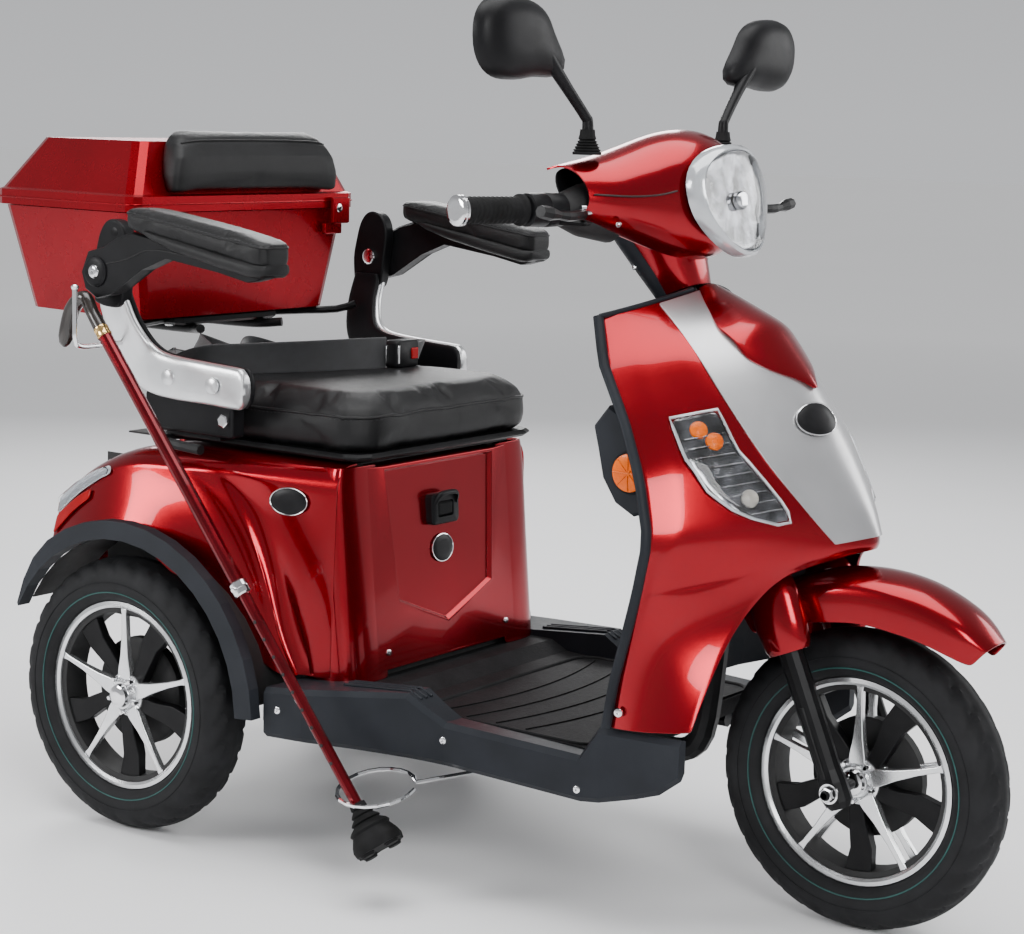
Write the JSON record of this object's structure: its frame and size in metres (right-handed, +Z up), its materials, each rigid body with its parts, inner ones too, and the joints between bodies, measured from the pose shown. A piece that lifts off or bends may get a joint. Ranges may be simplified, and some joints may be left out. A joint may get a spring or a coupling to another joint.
{
  "type": "mobility scooter",
  "caption": "Three-wheeled seated mobility scooter with leg shield, tiller handlebar, padded seat with folding armrests, lidded rear box and a walking cane in a holder.",
  "frame": {"origin": "on the ground under the middle of the bounding box", "axes": "+X forwards, +Y to the rider's left, +Z up"},
  "size_m": [1.707, 0.818, 1.253],
  "materials": {
    "black_plastic": "grained black plastic",
    "black_steel": "black powder coat on steel",
    "cane_red": "dark metallic red tube",
    "cast_silver": "cast aluminium, lacquered",
    "chrome": "bright chrome wire",
    "clear_lens": "clear moulded lens",
    "leather": "black leatherette",
    "red_paint": "gloss metallic red paint on moulded panels",
    "rubber": "matte rubber",
    "silver_paint": "satin silver paint",
    "slate_plastic": "grained slate-grey plastic",
    "tyre": "matte tyre rubber",
    "webbing": "woven belt webbing"
  },
  "bodies": {
    "chassis": {"main_frame": "black_steel", "rear_axle_housing": "black_steel", "battery_pack": "black_plastic", "motor_controller": "cast_silver", "floor_deck": "black_plastic", "side_sill_left": "slate_plastic", "side_sill_right": "slate_plastic", "leg_shield": "red_paint", "silver_panel": "silver_paint", "inner_shield": "slate_plastic", "glove_box": "slate_plastic", "turn_signal_left": "clear_lens", "turn_signal_right": "clear_lens", "side_fairing_left": "red_paint", "side_fairing_right": "red_paint", "wheel_arch_flare_left": "slate_plastic", "wheel_arch_flare_right": "slate_plastic", "front_panel": "red_paint", "rear_panel": "red_paint", "cane_ring": "chrome"},
    "rear_wheel_left": {"rear_tyre_left": "tyre", "rear_rim_left": "cast_silver"},
    "rear_wheel_right": {"rear_tyre_right": "tyre", "rear_rim_right": "cast_silver"},
    "steering": {"fork_crown": "black_steel", "handlebar": "black_steel", "head_cover": "red_paint", "headlight_lens": "clear_lens", "grip_left": "rubber"},
    "suspension": {"fork_lowers": "black_steel", "front_fender": "red_paint"},
    "front_wheel": {"front_tyre": "tyre", "front_rim": "cast_silver"},
    "throttle": {"grip_right": "rubber"},
    "brake_left": {"brake_lever_left": "black_steel"},
    "brake_right": {"brake_lever_right": "black_steel"},
    "mirror_left": {"mirror_left": "black_plastic"},
    "mirror_right": {"mirror_right": "black_plastic"},
    "key": {"key_switch": "black_plastic"},
    "charge_flap": {"charge_flap": "rubber"},
    "seat": {"seat_pan": "black_steel", "seat_cushion": "leather", "seat_bracket_left": "cast_silver", "seat_bracket_right": "cast_silver", "lap_belt": "webbing", "belt_buckle": "black_plastic", "top_box_tub": "red_paint", "top_box_carrier": "black_steel"},
    "seat_lever": {"seat_lever": "black_steel"},
    "armrest_left": {"armrest_arm_left": "black_plastic", "armrest_pad_left": "leather"},
    "armrest_right": {"armrest_arm_right": "black_plastic", "armrest_pad_right": "leather"},
    "lid": {"top_box_lid": "red_paint", "backrest_pad": "leather"},
    "latch": {"box_latch": "black_plastic"},
    "cane": {"cane_handle": "black_plastic", "cane_shaft_upper": "cane_red"},
    "cane_lower": {"cane_shaft_lower": "cane_red", "cane_foot": "rubber"}
  },
  "joints": [
    {"name": "rear_wheel_left_spin", "type": "hinge", "parent": "chassis", "child": "rear_wheel_left", "pos_m": [-0.4395, 0.32, 0.211], "axis": [0, 1, 0], "continuous": true},
    {"name": "rear_wheel_right_spin", "type": "hinge", "parent": "chassis", "child": "rear_wheel_right", "pos_m": [-0.4395, -0.32, 0.211], "axis": [0, 1, 0], "continuous": true},
    {"name": "steering_turn", "type": "hinge", "parent": "chassis", "child": "steering", "pos_m": [0.61304, 0, 0.1985], "axis": [-0.3907, 0, 0.9205], "range_deg": [-35, 35]},
    {"name": "suspension_travel", "type": "slide", "parent": "steering", "child": "suspension", "axis": [-0.3907, 0, 0.9205], "range_m": [0, 0.015], "stiffness_N_per_m": 15000, "springref_m": -0.03},
    {"name": "front_wheel_spin", "type": "hinge", "parent": "suspension", "child": "front_wheel", "pos_m": [0.6425, 0, 0.211], "axis": [0, 1, 0], "continuous": true},
    {"name": "throttle_twist", "type": "hinge", "parent": "steering", "child": "throttle", "pos_m": [0.23405, -0.275, 0.97756], "axis": [-0.2588, -0.9659, 0], "range_deg": [0, 60], "stiffness_Nm_per_rad": 0.3, "springref_deg": -8.59},
    {"name": "brake_lever_left_pull", "type": "hinge", "parent": "steering", "child": "brake_left", "pos_m": [0.29722, 0.22068, 0.97356], "axis": [0, 0, 1], "range_deg": [0, 12], "stiffness_Nm_per_rad": 1.5, "springref_deg": -5.73},
    {"name": "brake_lever_right_pull", "type": "hinge", "parent": "steering", "child": "brake_right", "pos_m": [0.29722, -0.22068, 0.97356], "axis": [0, 0, -1], "range_deg": [0, 12], "stiffness_Nm_per_rad": 1.5, "springref_deg": -5.73},
    {"name": "mirror_left_swivel", "type": "hinge", "parent": "steering", "child": "mirror_left", "pos_m": [0.2725, 0.18, 1.0518], "axis": [0, 0, 1], "range_deg": [-30, 30]},
    {"name": "mirror_right_swivel", "type": "hinge", "parent": "steering", "child": "mirror_right", "pos_m": [0.2725, -0.18, 1.0518], "axis": [0, 0, 1], "range_deg": [-30, 30]},
    {"name": "key_turn", "type": "hinge", "parent": "steering", "child": "key", "pos_m": [0.2205, -0.06, 1.02], "axis": [0, 0, 1], "range_deg": [0, 90]},
    {"name": "charge_flap_swing", "type": "hinge", "parent": "chassis", "child": "charge_flap", "pos_m": [-0.08936, 0, 0.511], "axis": [0, -1, 0], "range_deg": [0, 90]},
    {"name": "seat_slide", "type": "slide", "parent": "chassis", "child": "seat", "axis": [1, 0, 0], "range_m": [-0.02, 0.03]},
    {"name": "seat_lever_lift", "type": "hinge", "parent": "seat", "child": "seat_lever", "pos_m": [-0.4195, -0.3, 0.6035], "axis": [0, -1, 0], "range_deg": [0, 10], "stiffness_Nm_per_rad": 0.8, "springref_deg": -8.59},
    {"name": "armrest_left_fold", "type": "hinge", "parent": "seat", "child": "armrest_left", "pos_m": [-0.4915, 0.327, 0.855], "axis": [0, 1, 0], "range_deg": [-95, 0]},
    {"name": "armrest_right_fold", "type": "hinge", "parent": "seat", "child": "armrest_right", "pos_m": [-0.4915, -0.327, 0.855], "axis": [0, 1, 0], "range_deg": [-95, 0]},
    {"name": "lid_open", "type": "hinge", "parent": "seat", "child": "lid", "pos_m": [-0.8535, 0, 0.9445], "axis": [0, -1, 0], "range_deg": [0, 80]},
    {"name": "latch_flip", "type": "hinge", "parent": "lid", "child": "latch", "pos_m": [-0.4935, 0.215, 0.958], "axis": [0, -1, 0], "range_deg": [0, 60]},
    {"name": "cane_lift", "type": "slide", "parent": "chassis", "child": "cane", "axis": [-0.6242, 0, 0.7812], "range_m": [0, 0.02]},
    {"name": "cane_extension", "type": "slide", "parent": "cane", "child": "cane_lower", "axis": [0.6242, 0, -0.7812], "range_m": [0, 0.03]}
  ]
}
